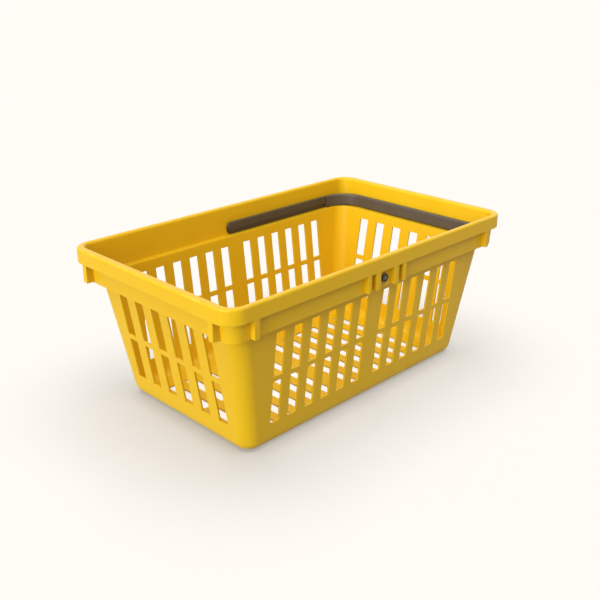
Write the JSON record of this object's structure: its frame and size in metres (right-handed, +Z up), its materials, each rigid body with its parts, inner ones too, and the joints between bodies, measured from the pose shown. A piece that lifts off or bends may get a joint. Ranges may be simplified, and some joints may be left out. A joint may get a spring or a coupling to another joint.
{
  "type": "shopping basket",
  "caption": "Rectangular plastic hand basket with slotted tapered walls and floor, a ribbed rim and a bail handle that folds down inside the rim.",
  "frame": {"origin": "middle of the base, on the surface the basket stands on", "axes": "+X along the length, towards the end where the handle lies folded; +Y across the width; +Z up"},
  "size_m": [0.48, 0.2872, 0.1964],
  "materials": {
    "basket_plastic": "injection-moulded polypropylene, satin",
    "grip_plastic": "moulded plastic, satin",
    "handle_plastic": "moulded plastic, satin",
    "rivet_plastic": "moulded plastic, satin"
  },
  "bodies": {
    "basket": {"basket_body": "basket_plastic"},
    "handle": {"handle_grip": "grip_plastic", "handle_arm_left": "handle_plastic", "handle_arm_right": "handle_plastic", "pivot_cap_left": "handle_plastic", "pivot_cap_right": "handle_plastic", "pivot_rivet_left": "rivet_plastic", "pivot_rivet_right": "rivet_plastic"}
  },
  "joints": [
    {"name": "handle_swing", "type": "hinge", "parent": "basket", "child": "handle", "pos_m": [0, 0, 0.1672], "axis": [0, -1, 0], "range_deg": [0, 180]}
  ]
}
